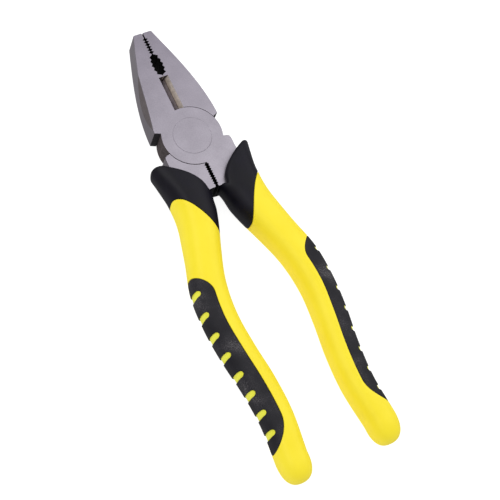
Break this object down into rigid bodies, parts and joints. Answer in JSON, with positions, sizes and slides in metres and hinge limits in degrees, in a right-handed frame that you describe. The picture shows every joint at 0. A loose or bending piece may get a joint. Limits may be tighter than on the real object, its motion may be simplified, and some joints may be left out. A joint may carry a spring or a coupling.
{
  "type": "lineman pliers",
  "caption": "Combination lineman pliers: two forged halves on a riveted lap joint, with wire cutter, pipe grip and moulded handles.",
  "frame": {"origin": "on the pivot axis, at the flat rear face of the joint", "axes": "+Y along the tool to the jaw tip, +Z out of the front joint face, +X to the right handle seen from the front"},
  "size_m": [0.0614, 0.2076, 0.0206],
  "materials": {
    "forged_steel": "satin ground faces with a thin clear oil film",
    "rivet_steel": "ground flush with the joint faces",
    "yellow_grip": "satin moulded",
    "guard_elastomer": "smooth satin",
    "pad_elastomer": "matte, finely grained"
  },
  "bodies": {
    "front_side": {"front_half": "forged_steel", "joint_rivet": "rivet_steel", "right_grip_body": "yellow_grip", "right_guard": "guard_elastomer", "right_palm_pad": "pad_elastomer"},
    "rear_side": {"rear_half": "forged_steel", "left_grip_body": "yellow_grip", "left_guard": "guard_elastomer", "left_palm_pad": "pad_elastomer"}
  },
  "joints": [
    {"name": "joint_pivot", "type": "hinge", "parent": "front_side", "child": "rear_side", "pos_m": [0, 0, 0.0063], "axis": [0, 0, -1], "range_deg": [0, 36]}
  ]
}
